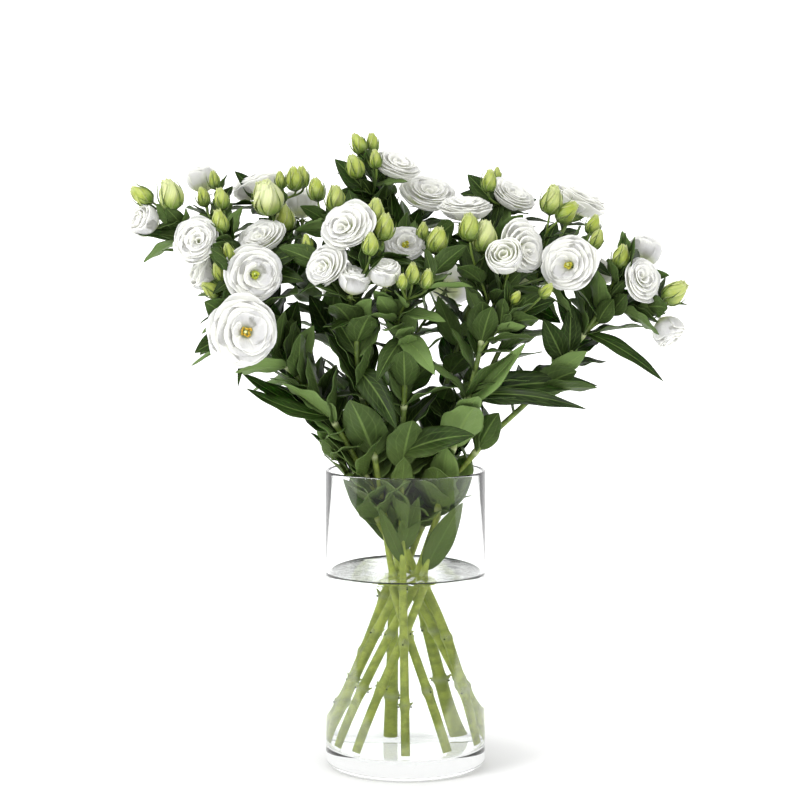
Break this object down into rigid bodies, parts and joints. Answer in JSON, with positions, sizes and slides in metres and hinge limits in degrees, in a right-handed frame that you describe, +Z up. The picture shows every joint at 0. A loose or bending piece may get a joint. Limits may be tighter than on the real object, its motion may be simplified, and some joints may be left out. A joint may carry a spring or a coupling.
{
  "type": "lisianthus bouquet in a glass vase",
  "caption": "White double lisianthus with green buds and paired leaves, a spreading bunch of cut stems standing in water in a clear glass cylinder vase.",
  "frame": {"origin": "centre of the face that the vase stands on", "axes": "+Z up along the vase's axis; -Y towards the viewer of the arrangement, +X to the viewer's right"},
  "size_m": [0.5188, 0.2045, 0.5919],
  "materials": {
    "clear_glass": "clear, polished",
    "water": "clear water",
    "green": "matt leaf and stalk",
    "petal": "soft matt petal",
    "stamen": "powdery"
  },
  "bodies": {
    "root": {"vase": "clear_glass", "water": "water", "stem_01": "green", "stem_02": "green", "stem_03": "green", "stem_04": "green", "stem_05": "green", "stem_06": "green", "stem_07": "green", "stem_08": "green", "stem_09": "green", "stem_10": "green", "stem_11": "green", "bloom_a": "petal", "bloom_b": "petal", "bloom_c": "petal", "bloom_d": "petal", "bloom_e": "petal", "bloom_f": "petal", "bloom_g": "petal", "bloom_h": "petal", "bloom_i": "petal", "bloom_j": "petal", "bloom_k": "petal", "bloom_l": "petal", "bloom_m": "petal", "bloom_n": "petal", "bloom_o": "petal", "bloom_p": "petal", "bloom_q": "petal", "bloom_r": "petal", "bloom_s": "petal", "bloom_t": "petal", "bloom_u": "petal", "bloom_v": "petal", "bloom_w": "petal", "bloom_x": "petal", "bloom_y": "petal", "bloom_z": "petal", "bloom_back_1": "petal", "bloom_back_2": "petal", "bloom_back_3": "petal", "centre_d": "stamen", "centre_e": "stamen", "centre_m": "stamen", "centre_t": "stamen"}
  },
  "joints": []
}
